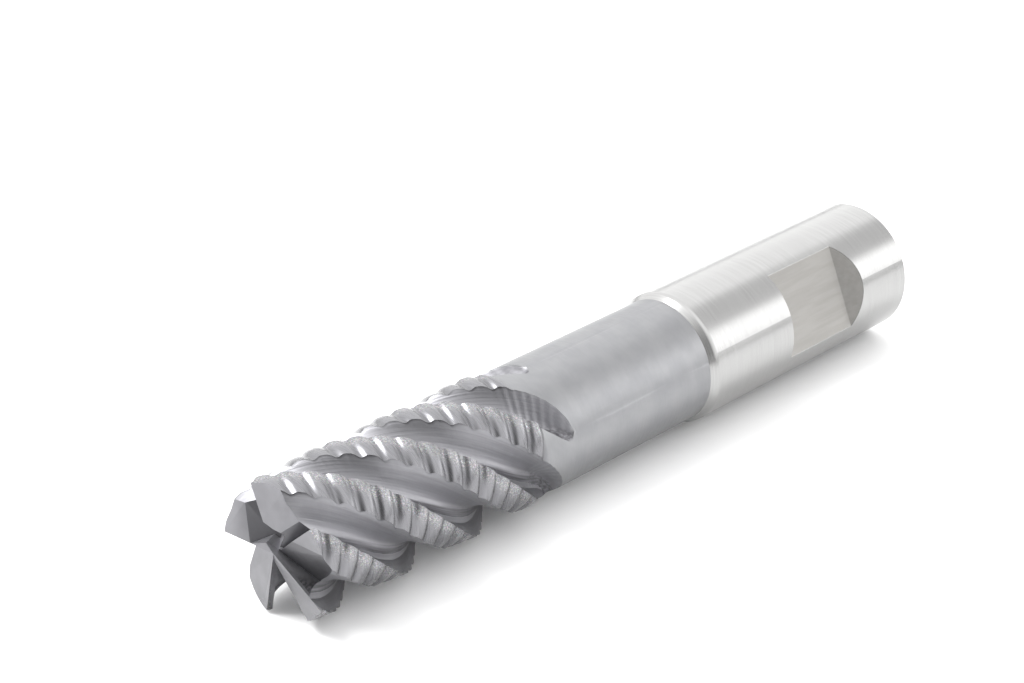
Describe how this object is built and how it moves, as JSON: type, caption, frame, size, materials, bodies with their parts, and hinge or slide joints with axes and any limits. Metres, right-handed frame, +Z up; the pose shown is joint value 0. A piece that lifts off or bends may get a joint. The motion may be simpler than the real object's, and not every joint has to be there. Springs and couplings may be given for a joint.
{
  "type": "roughing end mill",
  "caption": "Solid roughing end mill with right-hand helical ribbed teeth, a gashed centre-cutting end, a relieved neck and a thick round shank with one ramped clamping flat.",
  "frame": {"origin": "centre of the shank's flat end face, on the tool's axis", "axes": "+X along the tool's axis, out of the shank end, with the cutting tip at -X; +Z up; the clamping flat faces -Y and 24 degrees up"},
  "size_m": [0.148, 0.025, 0.025],
  "materials": {
    "high_speed_steel": "ground, satin",
    "ground_steel": "fine ground, bright"
  },
  "bodies": {
    "root": {"cutter_head": "high_speed_steel", "shank": "ground_steel"}
  },
  "joints": []
}
